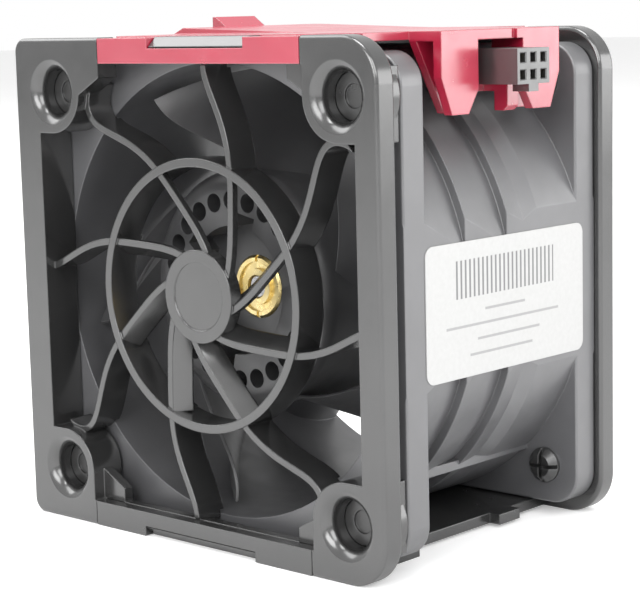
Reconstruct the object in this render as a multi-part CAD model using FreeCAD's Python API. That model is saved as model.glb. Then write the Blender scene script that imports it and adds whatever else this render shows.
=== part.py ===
import FreeCAD, Part
import math
import os

Vec = FreeCAD.Vector

# Server fan module: a 60 x 60 x 38 mm axial fan hung in rubber isolators between two bezels.
# All sizes are in millimetres. Shapes are drawn with x to the right, z up from the fan axis and
# y as the depth behind the front face. They are moved to the part's own frame when written:
# origin on the resting face, under the fan axis, at half the depth.

# Fan body
fan_width = 60.0
fan_depth = 38.0
fan_corner_r = 4.0
flange = 4.0
hole_inset = 5.0
hole_r = 2.15
duct_wall = 1.3
duct_swell = 2.9
step_height = 1.1
step_depths = (11.3, 19.5)
band_dip = 0.4
band_depths = (22.8, 25.6)
front_gap = 2.2
rear_gap = 0.1

# Bezels
height_margin = 2.0
left_margin = 2.3
right_margin = 1.0
front_bezel_depth = 3.2
rear_bezel_depth = 3.1
plain_corner_r = 1.8
lead_corner_r = 5.5
bar_height = 3.3
side_bar = 3.4
bezel_edge_r = 0.5
flange_edge_r = 0.3
draught_lip = 1.1

# How far forms that are joined reach into each other, and how far a cutter passes a face
overlap = 0.5
past = 1.0

# Clearances
snap_gap = 0.15
fit_gap = 0.02
face_gap = 0.1
tip_gap = 0.7
air_gap = 0.5
ball_gap = 0.08

# Webs between the bosses and the bars
gusset_rise = 1.8
gusset_drop = 0.6
gusset_run = 4.0

# Corner bosses and isolators
boss_r = 5.3
boss_depth = 4.9
funnel_r = 4.2
head_seat_r = 2.9
funnel_flare = 2.2
head_front = 3.0
rear_head_front = 1.3
head_thick = 1.0
head_dimple = 0.3
stem_r = 1.95
collar_r = 3.4
tail_r = 2.3
tail_length = 1.3
tail_taper = 0.85
tail_slit = 0.5

# Finger guard, with the angle of a rib as powers of its radius over that of the bore
guard_recess = 1.2
guard_disc_r = 5.85
guard_disc_depth = 1.8
guard_dish_r = 4.3
guard_dish_depth = 0.15
guard_ring_r = 17.2
guard_ring_width = 1.1
guard_depth = 4.4
rib_recess = 1.5
rib_width = 0.85
inner_rib_depth = 0.9
rib_count = 8
rib_first_angle = 135.0
rib_lag = (-140.4, 622.1, -1313.4, 1304.6, -476.6)
rib_stations = 9
slope_step = 0.1

# Top carrier
bar_depth = 1.6
bar_drop = 0.1
top_bar_left = -15.6
top_bar_right = 19.3
top_notch_left = -6.4
top_notch_right = 10.3
notch_height = 1.4
plate_drop = 0.9
plate_thick = 1.0
pad_front = 13.0
pad_length = 26.0
pad_left = -15.2
pad_ramp = 1.8
pad_width = 24.0
pad_height = 0.8
grip_left = -16.0
grip_front = 21.0
grip_length = 7.5
grip_top_width = 0.5
grip_foot_width = 3.6
grip_height = 2.1

# Skirt of the top carrier round the connector
skirt_width = 4.8
skirt_wall = 1.2
inner_wall = 1.1
skirt_drop = 9.7
taper_height = 4.4
inner_taper_height = 2.9
tab_taper = 1.9
window_head = 1.1
window_front_room = 1.6
window_rear_room = 0.9
front_tab_width = 6.9
rear_tab_width = 7.4
side_wall_drop = 6.5
sill_height = 0.9
latch_depth = 2.15
latch_offset = 0.85
latch_reach = 2.0
latch_chamfer = 0.6
slit_offset = 2.2
slit_width = 1.0
slit_depth = 0.5

# Bottom carrier
bottom_bar_half = 19.3
bottom_notch_half = 9.9
floor_half = 22.4
floor_lift = 0.5
landing_half = 24.0
landing_depth = 14.5
landing_thick = 0.9
side_pad_front = 30.7
side_pad_rear = 35.0

# Connector, two rows of three contacts
pin_pitch = 2.0
pin_columns = 3
pin_rows = 2
connector_depth = 23.15
connector_drop = 4.3
connector_stand = 4.5
connector_length = 7.0
connector_wide = 6.3
connector_tall = 4.2
contact_square = 0.8
contact_mouth = 1.3
contact_wall = 0.12
contact_inset = 1.6
crimp_length = 1.4
vent_window = 1.1
vent_window_length = 1.8
key_drop = 0.9
key_width = 1.9
key_length = 2.4

# Lead, four wires in two rows of two
wire_r = 0.5
wire_pitch = 1.1
lead_angle = 52.5
lead_bend = 2.0
lead_tight_bend = 1.2
lead_end_r = 11.6
channel_clear = 0.2
strut_wall = 0.9

# Impeller
hub_front = 7.8
hub_r = 15.3
hub_edge_r = 2.5
hub_wall = 1.3
hub_rear = 33.5
hub_floor_front = 12.1
hub_floor_thick = 2.0
recess_r = 8.2
pocket_r = 9.8
pocket_width = 3.0
pocket_count = 6
pocket_angle = 77.0
vent_count = 24
vent_circle_r = 11.45
vent_r = 1.2
vent_depth = 5.0
blade_count = 5
blade_tip_angle = 122.1
blade_tip_front = 8.8
blade_root_front = 10.5
blade_tip_rear = 30.5
blade_root_rear = 32.0
blade_sweep = 42.0
blade_sweep_power = 2.3
blade_wrap = 40.0
blade_camber = 0.35
blade_root_thick = 1.7
blade_tip_thick = 1.0
blade_edge_share = 0.35
blade_radial_stations = 5
blade_chord_stations = 7

# Rotor
shaft_r = 1.5
shaft_front = 11.9
shaft_rear = 41.0
shaft_edge = 0.2
bush_r = 4.05
bush_front = 11.6
bush_neck_r = 3.0
bush_rear = 17.2
bush_ring_depth = 0.5
bush_collar_set = 0.15
bush_edge = 0.3
bush_slot = 0.4
yoke_thick = 1.0
yoke_rear = 33.0
magnet_front = 18.5
magnet_rear = 32.5
magnet_thick = 1.5
clip_front = 39.8
clip_thick = 0.45
clip_r = 3.0
clip_groove = 0.3
clip_mouth = 1.6
clip_lobe_r = 0.45

# Ball bearings, 3 x 8 x 4 mm
bearing_r = 4.0
bearing_width = 4.0
front_bearing_front = 19.1
rear_bearing_front = 35.4
inner_race_r = 2.3
outer_race_r = 3.25
ball_r = 0.72
ball_count = 7
cage_r_in = 2.45
cage_r_out = 3.1
cage_width = 1.0
cage_offset = 0.2

# Stator
tube_r = 5.2
tube_front = 18.3
tube_bore_r = 3.3
core_front = 20.8
core_rear = 30.2
tooth_count = 6
tooth_width = 2.4
core_ring_r = 6.4
pole_depth = 1.3
pole_span = 48.0
insulator_thick = 0.6
insulator_wrap = 0.3
coil_thick = 1.1
coil_side = 0.66
board_r = 13.2
board_thick = 1.0
board_front = 36.9
chip_size = (3.9, 4.9, 1.3)
chip_angle = 180.0
sensor_size = (1.6, 3.0, 1.1)
sensor_angle = 270.0
capacitor_size = (2.0, 1.2, 0.8)
capacitor_count = 4
capacitor_step = 22.0

# Motor base, stator vanes and wire rail of the fan body
base_r = 15.3
base_wall = 1.3
base_front = 35.4
base_floor = 1.5
base_setback = 0.4
base_edge = 0.8
base_boss_r = 7.2
vane_count = 7
vane_first_angle = 26.8
vane_front = 34.6
vane_thick = 1.3
vane_bow = 1.6
vane_lean = 4.0
vane_setback = 0.2
rail_drop = 22.7
rail_thick = 1.2
rail_reach = 5.0

# Label
label_front = 9.1
label_rear = 40.7
label_top = 7.2
label_bottom = -9.2
label_thick = 0.12
label_corner_r = 1.3

# Disc spring between the hub bush and the front bearing
spring_r = 3.0
spring_thick = 0.3

# Sizes worked out from those above
fan_half = fan_width / 2
hole_half = fan_half - hole_inset
bore_r = fan_half - duct_wall
crest_r = bore_r + duct_swell
trough_r = crest_r - step_height
band_r = crest_r - band_dip
half_height = fan_half + height_margin
left_half = fan_half + left_margin
right_half = fan_half + right_margin
opening_half_height = half_height - bar_height
opening_half_width = right_half - side_bar
fan_front = front_bezel_depth + front_gap
fan_rear = fan_front + fan_depth
rear_bezel_front = fan_rear + rear_gap
module_depth = rear_bezel_front + rear_bezel_depth
plate_bottom = half_height - plate_drop
plate_top = plate_bottom + plate_thick
plate_edge = right_half - skirt_width
window_top = half_height - window_head
tab_bottom = half_height - skirt_drop
outer_slant_top = tab_bottom + taper_height
inner_slant_top = tab_bottom + inner_taper_height
tab_rear = connector_depth - connector_wide / 2 - window_front_room
window_rear = connector_depth + connector_wide / 2 + window_rear_room
skirt_front = tab_rear - front_tab_width
skirt_rear = window_rear + rear_tab_width
floor_bottom = floor_lift - half_height
floor_top = -fan_half - snap_gap
connector_height = half_height - connector_drop
connector_face = right_half + connector_stand
connector_back = connector_face - connector_length
connector_low = connector_height - connector_tall / 2
lead_radius = connector_height / math.sin(math.radians(lead_angle))
hub_floor_rear = hub_floor_front + hub_floor_thick
yoke_r = hub_r - hub_wall - fit_gap
magnet_r = yoke_r - yoke_thick - fit_gap
core_r = magnet_r - magnet_thick - air_gap
blade_tip_r = bore_r - tip_gap
base_rear = fan_rear - base_setback
board_rear = board_front + board_thick
ball_circle_r = (inner_race_r + outer_race_r) / 2
axis = Vec(0, 1, 0)


def box(x0, x1, y0, y1, z0, z1):
    return Part.makeBox(x1 - x0, y1 - y0, z1 - z0, Vec(x0, y0, z0))


def rod(r, y0, y1, x=0.0, z=0.0):
    return Part.makeCylinder(r, y1 - y0, Vec(x, y0, z), axis)


def sleeve(r_out, r_in, y0, y1):
    return rod(r_out, y0, y1).cut(rod(r_in, y0 - past, y1 + past))


def join(shapes):
    first = shapes[0]
    return first.fuse(shapes[1:]).removeSplitter()


def prism_y(points, y0, y1):
    """A straight prism along the depth from an outline of (x, z) points."""
    corners = [Vec(x, y0, z) for x, z in points]
    face = Part.Face(Part.makePolygon(corners + corners[:1]))
    return face.extrude(Vec(0, y1 - y0, 0))


def prism_x(points, x0, x1):
    """A straight prism across the width from an outline of (y, z) points."""
    corners = [Vec(x0, y, z) for y, z in points]
    face = Part.Face(Part.makePolygon(corners + corners[:1]))
    return face.extrude(Vec(x1 - x0, 0, 0))


def turned(points):
    """A solid of revolution about the fan axis from an outline of (radius, depth) points."""
    corners = [Vec(r, y, 0) for r, y in points]
    face = Part.Face(Part.makePolygon(corners + corners[:1]))
    return face.revolve(Vec(0, 0, 0), axis, 360)


def spun(shape, degrees):
    copy = shape.copy()
    copy.rotate(Vec(0, 0, 0), axis, -degrees)
    return copy


def moved(shape, x, y, z):
    copy = shape.copy()
    copy.translate(Vec(x, y, z))
    return copy


def turned_back(shape):
    """The shape seen from the rear: depth is counted from the rear face instead."""
    flipped = shape.mirror(Vec(0, module_depth / 2, 0), axis)
    return flipped


def rounded_plate(x0, x1, z0, z1, y0, y1, left_r, right_r):
    """A plate with one corner radius on its left side and one on its right side."""
    def corner(cx, cz, r, a0):
        spots = []
        for step in (0, 45, 90):
            a = math.radians(a0 + step)
            spots.append(Vec(cx + r * math.cos(a), y0, cz + r * math.sin(a)))
        return spots

    arcs = [
        corner(x1 - right_r, z1 - right_r, right_r, 0),
        corner(x0 + left_r, z1 - left_r, left_r, 90),
        corner(x0 + left_r, z0 + left_r, left_r, 180),
        corner(x1 - right_r, z0 + right_r, right_r, 270),
    ]
    edges = []
    for index, (start, middle, end) in enumerate(arcs):
        following = arcs[(index + 1) % len(arcs)][0]
        edges.append(Part.Arc(start, middle, end).toShape())
        edges.append(Part.LineSegment(end, following).toShape())
    face = Part.Face(Part.Wire(edges))
    return face.extrude(Vec(0, y1 - y0, 0))


def softened(plate, r):
    """The plate with the edges of its two flat faces rounded."""
    rims = [edge for edge in plate.Edges if edge.BoundBox.YLength < r / 10]
    return plate.makeFillet(r, rims)


def polar(r, degrees, y):
    a = math.radians(degrees)
    return Vec(r * math.cos(a), y, r * math.sin(a))


# Bezels

def bezel_outline(y0, y1):
    plate = rounded_plate(-left_half, right_half, -half_height, half_height, y0, y1,
                          plain_corner_r, lead_corner_r)
    return softened(plate, bezel_edge_r)


def isolator_socket(seat):
    """The flared mouth, head seat and stem bore of one boss, cut from the front."""
    flare = min(funnel_flare, seat - head_thick - face_gap)
    lip = funnel_r - head_seat_r
    lag = 1 - math.sin(math.pi / 4)
    start = Vec(funnel_r, 0, 0)
    middle = Vec(head_seat_r + lip * lag, flare * lag, 0)
    end = Vec(head_seat_r, flare, 0)
    bore = stem_r + fit_gap
    corners = [
        end,
        Vec(head_seat_r, seat, 0),
        Vec(bore, seat, 0),
        Vec(bore, boss_depth + past, 0),
        Vec(0, boss_depth + past, 0),
        Vec(0, -past, 0),
        Vec(funnel_r, -past, 0),
        start,
    ]
    edges = [Part.Arc(start, middle, end).toShape()]
    for a, b in zip(corners, corners[1:]):
        edges.append(Part.LineSegment(a, b).toShape())
    return Part.Face(Part.Wire(edges)).revolve(Vec(0, 0, 0), axis, 360)


def corner_piece(side_x, side_z, depth):
    """The filled corner round a boss, with straight edges tangent to the boss."""
    inner = hole_half - boss_r
    boss = rod(boss_r, 0, boss_depth, side_x * hole_half, side_z * hole_half)
    reach = left_half + past
    beside = [(side_x * hole_half, side_z * inner), (side_x * reach, side_z * inner),
              (side_x * reach, side_z * reach), (side_x * hole_half, side_z * reach)]
    above = [(side_x * inner, side_z * hole_half), (side_x * reach, side_z * hole_half),
             (side_x * reach, side_z * reach), (side_x * inner, side_z * reach)]
    fill = prism_y(beside, 0, depth).fuse(prism_y(above, 0, depth))
    return boss.fuse(fill.common(bezel_outline(0, depth)))


def gusset(side_x, side_z, bar_end, y0, y1):
    """A web between a boss and the bar next to it."""
    inner = hole_half - boss_r
    foot = min(bar_end, inner - gusset_run)
    root = opening_half_height + overlap
    points = [(side_x * (inner + overlap), side_z * (hole_half - gusset_drop)),
              (side_x * foot, side_z * (opening_half_height - gusset_rise)),
              (side_x * foot, side_z * root),
              (side_x * (inner + overlap), side_z * root)]
    return prism_y(points, y0, y1)


def bar_hook(side, x0, x1, depth):
    """The ramped catch that stands in a bar's notch, on the upper (1) or lower (-1) edge."""
    low = half_height - notch_height + snap_gap
    web_front = bar_depth + snap_gap
    outline = [(face_gap, low), (notch_height, half_height), (depth, half_height),
               (depth, low - past), (web_front, low - past), (web_front, low)]
    return prism_x([(y, side * z) for y, z in outline], x0 + snap_gap, x1 - snap_gap)


def bezel_frame(depth, head_depth):
    """The frame, its corners, the pockets for the carrier bars and the hooks that hold them."""
    frame = bezel_outline(0, depth)
    frame = frame.cut(box(-opening_half_width, opening_half_width, -past, depth + past,
                          -opening_half_height, opening_half_height))
    frame = frame.fuse([corner_piece(x, z, depth) for x in (-1, 1) for z in (-1, 1)])
    web_front = bar_depth + snap_gap
    top_span = (top_bar_left - snap_gap, top_bar_right + snap_gap)
    low_span = (-bottom_bar_half - snap_gap, bottom_bar_half + snap_gap)
    edge = half_height + past
    frame = frame.cut([
        box(*top_span, -past, web_front, opening_half_height, edge),
        box(*top_span, -past, depth + past, plate_bottom - snap_gap, edge),
        box(*low_span, -past, web_front, -edge, -opening_half_height),
        box(*low_span, -past, depth + past, -edge, floor_top + snap_gap),
    ])
    hooks = [bar_hook(1, top_notch_left, top_notch_right, depth),
             bar_hook(-1, -bottom_notch_half, bottom_notch_half, depth)]
    webs = [gusset(1, 1, top_bar_right, web_front, depth),
            gusset(1, -1, bottom_bar_half, web_front, depth),
            gusset(-1, -1, bottom_bar_half, web_front, depth),
            gusset(-1, 1, -top_span[0], 0, depth)]
    frame = frame.fuse(hooks + webs)
    socket = isolator_socket(head_depth + head_thick)
    sockets = [moved(socket, x * hole_half, 0, z * hole_half) for x in (-1, 1) for z in (-1, 1)]
    return frame.cut(sockets).removeSplitter()


def rib_angle(r):
    return sum(factor * (r / bore_r) ** power for power, factor in enumerate(rib_lag))


def guard_rib(r_in, r_out):
    """One spiral rib, a curved strip standing on edge."""
    inner = []
    outer = []
    for station in range(rib_stations):
        r = r_in + (r_out - r_in) * station / (rib_stations - 1)
        half = math.degrees(rib_width / 2 / r)
        turn = rib_angle(r + slope_step) - rib_angle(r - slope_step)
        slope = r * math.radians(turn) / (2 * slope_step)
        half *= math.sqrt(1 + slope * slope)
        inner.append(polar(r, rib_angle(r) - half, rib_recess))
        outer.append(polar(r, rib_angle(r) + half, rib_recess))
    sides = []
    for points in (inner, outer):
        curve = Part.BSplineCurve()
        curve.interpolate(points)
        sides.append(curve.toShape())
    first_end = Part.LineSegment(inner[0], outer[0]).toShape()
    last_end = Part.LineSegment(inner[-1], outer[-1]).toShape()
    face = Part.Face(Part.Wire(Part.__sortEdges__([sides[0], last_end, sides[1], first_end])))
    return face.extrude(Vec(0, guard_depth, 0))


def guard_room():
    """The space that the ribs may fill: the opening without the bosses' corners and the carrier bars."""
    rear = rib_recess + guard_depth
    wide = opening_half_width + overlap
    tall = opening_half_height + overlap
    room = box(-wide, wide, 0, rear, -tall, tall)
    inner = hole_half - boss_r + overlap
    for x in (-1, 1):
        for z in (-1, 1):
            above = [(x * inner, z * hole_half), (x * half_height, z * hole_half),
                     (x * half_height, z * half_height), (x * inner, z * half_height)]
            beside = [(x * hole_half, z * inner), (x * half_height, z * inner),
                      (x * half_height, z * half_height), (x * hole_half, z * half_height)]
            boss = rod(boss_r - overlap, 0, rear, x * hole_half, z * hole_half)
            room = room.cut([prism_y(above, 0, rear), prism_y(beside, 0, rear), boss])
    flange_room = box(-fan_half, fan_half, fan_front - face_gap, fan_front + flange, -fan_half, fan_half)
    flange_room = flange_room.cut(rod(bore_r - overlap, 0, fan_rear))
    pocket_rear = bar_depth + snap_gap
    top_pocket = box(top_bar_left - snap_gap, top_bar_right + snap_gap, 0, pocket_rear,
                     opening_half_height - snap_gap, half_height)
    low_pocket = box(-bottom_bar_half - snap_gap, bottom_bar_half + snap_gap, 0, pocket_rear,
                     -half_height, snap_gap - opening_half_height)
    return room.cut([flange_room, top_pocket, low_pocket])


def finger_guard():
    """Disc, ring and spiral ribs in front of the impeller."""
    disc = rod(guard_disc_r, guard_recess, guard_recess + guard_disc_depth)
    disc = disc.cut(rod(guard_dish_r, guard_recess - past, guard_recess + guard_dish_depth))
    ring = sleeve(guard_ring_r, guard_ring_r - guard_ring_width, guard_recess, guard_recess + guard_depth)
    rib = guard_rib(guard_disc_r - overlap, half_height)
    behind = rod(guard_ring_r - guard_ring_width, rib_recess + inner_rib_depth, rib_recess + guard_depth)
    room = guard_room().cut(behind)
    ribs = [spun(rib, rib_first_angle - k * 360 / rib_count).common(room) for k in range(rib_count)]
    return join([disc, ring] + ribs)


def draught_lips():
    """Low walls behind the side bars that close the gap to the fan, set out round the isolators."""
    inner = hole_half - boss_r
    rear = fan_front - face_gap
    start = front_bezel_depth - overlap
    beside = hole_half + collar_r + 2 * face_gap
    tall = hole_half + collar_r
    lips = []
    for side in (-1, 1):
        near, far = sorted((side * opening_half_width, side * (opening_half_width + draught_lip)))
        lips.append(box(near, far, start, rear, -inner - overlap, inner + overlap))
        near, far = sorted((side * beside, side * (beside + draught_lip)))
        lips.append(box(near, far, start, rear, inner, tall))
        lips.append(box(near, far, start, rear, -tall, -inner))
    return lips


def front_bezel():
    return join([bezel_frame(front_bezel_depth, head_front), finger_guard()] + draught_lips())


def rear_bezel():
    """The same frame turned round, cut flat where it meets the fan."""
    fan_side = box(-left_half, left_half, 0, rear_bezel_front, -half_height, half_height)
    return turned_back(bezel_frame(rear_bezel_depth, rear_head_front)).cut(fan_side)


# Carriers

def notched_bar(side, x0, x1, notch0, notch1):
    """A bar across the front with a shallow notch in its outer edge, upper (1) or lower (-1)."""
    near = side * (opening_half_height + face_gap / 2)
    far = side * (half_height - bar_drop)
    floor = side * (half_height - notch_height)
    bar = box(x0, x1, 0, bar_depth, min(near, far), max(near, far))
    notch = box(notch0, notch1, -past, bar_depth + past, min(floor, 2 * floor), max(floor, 2 * floor))
    return bar.cut(notch)


def tab_outline(outer, inner, inward):
    """Side view of a skirt tab, tapered from both edges; inward is 1 or -1, the way to the window."""
    foot_outer = outer + inward * tab_taper
    foot_inner = inner - inward * tab_taper
    return [(outer, window_top), (outer, outer_slant_top), (foot_outer, tab_bottom),
            (foot_inner, tab_bottom), (inner, inner_slant_top), (inner, window_top)]


def connector_cradle():
    """The sill behind the connector and the latch block that hangs under it."""
    sill_top = connector_low - face_gap
    sill_low = sill_top - sill_height
    sill = box(plate_edge, plate_edge + inner_wall, tab_rear - overlap, window_rear + overlap,
               sill_low, sill_top)
    block_front = connector_depth + latch_offset
    block_rear = block_front + latch_depth
    shelf = box(plate_edge, right_half, block_front, block_rear, sill_low, sill_top)
    block = prism_y([(right_half - latch_reach, sill_top), (right_half, sill_top),
                     (right_half, tab_bottom + latch_chamfer), (right_half - latch_chamfer, tab_bottom),
                     (right_half - latch_reach, tab_bottom)], block_front, block_rear)
    return [sill, shelf, block]


def carrier_skirt():
    """The box-shaped skirt over the connector side, with two tabs and a window between them."""
    outer = right_half - skirt_wall
    inner = plate_edge + inner_wall
    wall_low = half_height - side_wall_drop
    head = box(plate_edge, right_half, skirt_front, skirt_rear, window_top, plate_top)
    front_tab = tab_outline(skirt_front, tab_rear, 1)
    rear_tab = tab_outline(skirt_rear, window_rear, -1)
    slanted = [(skirt_front, window_top), (tab_rear - tab_taper, tab_bottom),
               (tab_rear, tab_bottom), (tab_rear, window_top)]
    pieces = [
        head,
        prism_x(front_tab, outer, right_half),
        prism_x(rear_tab, outer, right_half),
        prism_x(slanted, plate_edge, inner),
        prism_x(rear_tab, plate_edge, inner),
        box(plate_edge, right_half, tab_rear - skirt_wall, tab_rear, wall_low, window_top),
        box(plate_edge, right_half, window_rear, window_rear + skirt_wall, wall_low, window_top),
    ]
    return pieces + connector_cradle()


def grip_tab():
    """The raised finger tab, with a slope down to the plate on its right."""
    root = plate_top - plate_thick / 2
    points = [(grip_left, root), (grip_left, plate_top + grip_height),
              (grip_left + grip_top_width, plate_top + grip_height),
              (grip_left + grip_foot_width, plate_top), (grip_left + grip_foot_width, root)]
    return prism_y(points, grip_front, grip_front + grip_length)


def top_carrier():
    bar = notched_bar(1, top_bar_left, top_bar_right, top_notch_left, top_notch_right)
    front_start = front_bezel_depth + snap_gap
    rear_end = module_depth - rear_bezel_depth - snap_gap
    root = plate_top - plate_thick / 2
    lip = box(top_bar_left, top_bar_right, 0, front_start + overlap, plate_bottom, half_height - bar_drop)
    plate = box(top_bar_left, plate_edge, front_start, skirt_rear, plate_bottom, plate_top)
    tongue = box(top_bar_left, top_bar_right, skirt_rear - overlap, rear_end, plate_bottom, plate_top)
    pad = prism_y([(pad_left, root), (pad_left, plate_top), (pad_left + pad_ramp, plate_top + pad_height),
                   (pad_left + pad_width, plate_top), (pad_left + pad_width, root)],
                  pad_front, pad_front + pad_length)
    body = join([bar, turned_back(bar), lip, turned_back(lip), plate, tongue, pad, grip_tab()]
                + carrier_skirt())
    hook_room = box(top_notch_left, top_notch_right, -past, front_start,
                    half_height - notch_height, plate_top + past)
    slit = box(right_half - slit_depth, right_half + past, window_rear - slit_offset,
               window_rear - slit_offset + slit_width, window_top - past, plate_top + past)
    lead_pass = box(plate_edge - past, plate_edge + inner_wall + overlap, tab_rear, window_rear,
                    connector_low, window_top)
    return body.cut([hook_room, turned_back(hook_room), slit, lead_pass]).removeSplitter()


def bottom_carrier():
    bar = notched_bar(-1, -bottom_bar_half, bottom_bar_half, -bottom_notch_half, bottom_notch_half)
    front_start = front_bezel_depth + snap_gap
    rear_end = module_depth - rear_bezel_depth - snap_gap
    landing_top = landing_thick - half_height
    web = box(-bottom_bar_half, bottom_bar_half, 0, module_depth, floor_bottom, floor_top)
    floor = box(-floor_half, floor_half, front_start, rear_end, floor_bottom, floor_top)
    landing = box(-landing_half, landing_half, front_start, landing_depth, -half_height, landing_top)
    pad = box(-landing_half, landing_half, side_pad_front, side_pad_rear, floor_bottom, floor_top)
    body = join([bar, turned_back(bar), web, floor, landing, pad])
    hook_top = notch_height + past - half_height
    hook_room = box(-bottom_notch_half, bottom_notch_half, bar_depth, front_start,
                    -half_height - past, hook_top)
    notch_room = box(-bottom_notch_half, bottom_notch_half, -past, front_start,
                     -half_height - past, notch_height - half_height)
    rooms = [hook_room, notch_room]
    return body.cut(rooms + [turned_back(room) for room in rooms]).removeSplitter()


# Isolators

def isolator(head_depth, collar, flange_face):
    """One rubber plug: head in the boss, collar or none before the flange, slit tail inside it."""
    tail = flange_face + flange
    tip = tail + tail_length
    head = head_seat_r - face_gap / 2
    neck = [(stem_r, head_depth + head_thick)]
    if collar:
        neck += [(stem_r, boss_depth), (collar_r, boss_depth)]
        neck += [(collar_r, flange_face), (stem_r, flange_face)]
    profile = [(0, head_depth), (head, head_depth), (head, head_depth + head_thick)] + neck
    profile += [(stem_r, tail), (tail_r, tail), (tail_r, tip - tail_taper)]
    profile += [(tail_r - tail_taper, tip), (0, tip)]
    plug = turned(profile)
    half_slit = tail_slit / 2
    across = box(-collar_r, collar_r, tip - tail_taper, tip + past, -half_slit, half_slit)
    upright = box(-half_slit, half_slit, tip - tail_taper, tip + past, -collar_r, collar_r)
    dimple = rod(head / 2, head_depth - past, head_depth + head_dimple)
    return plug.cut([across, upright, dimple])


def four_corners(shape):
    spots = [(x * hole_half, z * hole_half) for x in (-1, 1) for z in (-1, 1)]
    return Part.makeCompound([moved(shape, x, 0, z) for x, z in spots])


def front_isolators():
    return four_corners(isolator(head_front, True, fan_front))


def rear_isolators():
    plug = isolator(rear_head_front, False, module_depth - fan_rear)
    return four_corners(turned_back(plug))


# Fan body

def duct():
    """Square-flanged duct whose outside steps like saw teeth between the flanges."""
    front = rounded_plate(-fan_half, fan_half, -fan_half, fan_half, fan_front, fan_front + flange,
                          fan_corner_r, fan_corner_r)
    front = softened(front, flange_edge_r)
    rear = moved(front, 0, fan_depth - flange, 0)
    first, second = (fan_front + depth for depth in step_depths)
    band_start, band_end = (fan_front + depth for depth in band_depths)
    outside = turned([(0, fan_front), (crest_r, fan_front), (crest_r, fan_front + flange),
                      (trough_r, first), (crest_r, first),
                      (trough_r, second), (crest_r, second),
                      (band_r, band_start), (crest_r, band_end), (crest_r, fan_rear), (0, fan_rear)])
    outside = outside.common(box(-fan_half, fan_half, fan_front, fan_rear, -fan_half, fan_half))
    rail_edge = math.sqrt(crest_r ** 2 - rail_drop ** 2)
    rail = box(rail_edge - rail_reach, rail_edge, fan_front + overlap, fan_rear - overlap,
               -rail_drop - rail_thick / 2, -rail_drop + rail_thick / 2)
    rail = rail.cut(rod((bore_r + trough_r) / 2, 0, fan_rear))
    hole = rod(hole_r, 0, module_depth)
    holes = [moved(hole, x * hole_half, 0, z * hole_half) for x in (-1, 1) for z in (-1, 1)]
    solid = join([outside, front, rear, rail])
    return solid.cut([rod(bore_r, 0, module_depth)] + holes)


def motor_base():
    """Cup behind the impeller that holds the bearing tube and the circuit board."""
    floor_front = base_rear - base_floor
    inner = base_r - base_wall
    boss_bore = tube_r + fit_gap
    return turned([(0, floor_front), (boss_bore, floor_front), (boss_bore, board_rear),
                   (base_boss_r, board_rear), (base_boss_r, floor_front), (inner, floor_front),
                   (inner, base_front), (base_r, base_front), (base_r, base_rear - base_edge),
                   (base_r - base_edge, base_rear), (0, base_rear)])


def stator_vane():
    """One curved guide vane: a bowed section extruded outwards from the motor base."""
    top = base_rear - vane_setback
    middle = (vane_front + top) / 2
    r0 = base_r - base_wall / 2

    def bowed(offset):
        return Part.Arc(Vec(r0, vane_front, -vane_lean / 2 + offset),
                        Vec(r0, middle, vane_bow + offset),
                        Vec(r0, top, vane_lean / 2 + offset))

    near = bowed(-vane_thick / 2)
    far = bowed(vane_thick / 2)
    ends = [Part.LineSegment(near.StartPoint, far.StartPoint), Part.LineSegment(near.EndPoint, far.EndPoint)]
    edges = [near.toShape(), far.toShape()] + [end.toShape() for end in ends]
    face = Part.Face(Part.Wire(Part.__sortEdges__(edges)))
    blade = face.extrude(Vec(bore_r - r0 + past, 0, 0))
    return blade.common(rod(bore_r + overlap, 0, module_depth))


def channel_walls():
    """The straight strut that carries the lead, and the cuts for its channel and its way in."""
    half = wire_pitch + channel_clear
    floor = fan_rear - 2 * half
    side = half + strut_wall
    corner = lead_radius + half
    strut = box(base_r - base_wall / 2, bore_r + overlap, floor - strut_wall, fan_rear, -side, side)
    channel = box(lead_end_r - half, corner, floor, fan_rear + past, -half, half)
    shaft_way = box(lead_end_r - half, lead_end_r + half, board_rear, fan_rear, -half, half)
    notch = box(lead_radius - half, fan_half * math.sqrt(2), fan_rear - flange - past, fan_rear + past,
                -half, half)
    return spun(strut, lead_angle), [spun(cut, lead_angle) for cut in (channel, shaft_way, notch)]


def fan_housing():
    strut, cuts = channel_walls()
    vanes = [spun(stator_vane(), vane_first_angle + k * 360 / vane_count) for k in range(vane_count)]
    return join([duct(), motor_base(), strut] + vanes).cut(cuts).removeSplitter()


# Impeller

def blade_point(span, chord, side):
    """A point of the blade: span 0 root to 1 tip, chord 0 leading to 1 trailing edge, side -1 or 1."""
    root_r = hub_r - hub_wall / 2
    r = root_r + (blade_tip_r - root_r) * span
    front = blade_root_front + (blade_tip_front - blade_root_front) * span
    rear = blade_root_rear + (blade_tip_rear - blade_root_rear) * span
    lead = blade_tip_angle - blade_sweep * (1 - span) ** blade_sweep_power
    bend = (1 + blade_camber) * chord - blade_camber * chord * chord
    turn_rate = (1 + blade_camber) - 2 * blade_camber * chord
    y = front + (rear - front) * chord
    along = r * math.radians(blade_wrap) * turn_rate
    slope = math.hypot(along, rear - front)
    thick = blade_root_thick + (blade_tip_thick - blade_root_thick) * span
    half = side * thick / 2 * (blade_edge_share + (1 - blade_edge_share) * 4 * chord * (1 - chord))
    angle = lead - blade_wrap * bend + math.degrees(half * (rear - front) / slope / r)
    return polar(r, angle, y + half * along / slope)


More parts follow.
